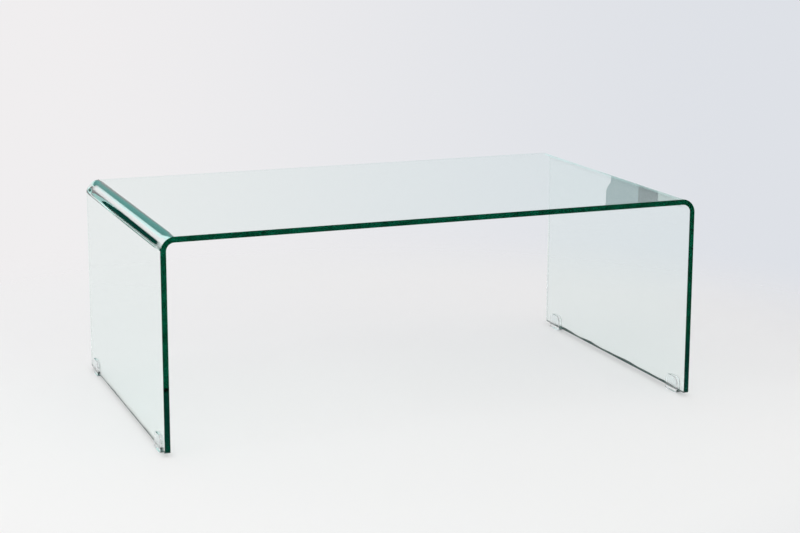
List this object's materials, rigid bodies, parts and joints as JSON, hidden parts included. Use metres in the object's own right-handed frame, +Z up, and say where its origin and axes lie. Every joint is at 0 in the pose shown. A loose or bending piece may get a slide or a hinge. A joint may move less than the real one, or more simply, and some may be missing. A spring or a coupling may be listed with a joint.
{
  "type": "waterfall coffee table",
  "caption": "Low rectangular table: a clear glass sheet bent down at both ends to make its panel legs, standing on clear plastic clip feet.",
  "frame": {"origin": "on the floor, under the middle of the table", "axes": "+X along the table's length, towards the right-hand leg panel seen from the front; +Y towards the rear edge; +Z up"},
  "size_m": [1.2052, 0.7, 0.45],
  "materials": {
    "clear_glass": "polished clear float glass with a faint green body colour; ground and polished edges that look dark green",
    "clear_plastic": "clear moulded plastic, glossy"
  },
  "bodies": {
    "root": {"bent_glass": "clear_glass", "foot_clip_front_left": "clear_plastic", "foot_clip_front_right": "clear_plastic", "foot_clip_rear_left": "clear_plastic", "foot_clip_rear_right": "clear_plastic"}
  },
  "joints": []
}
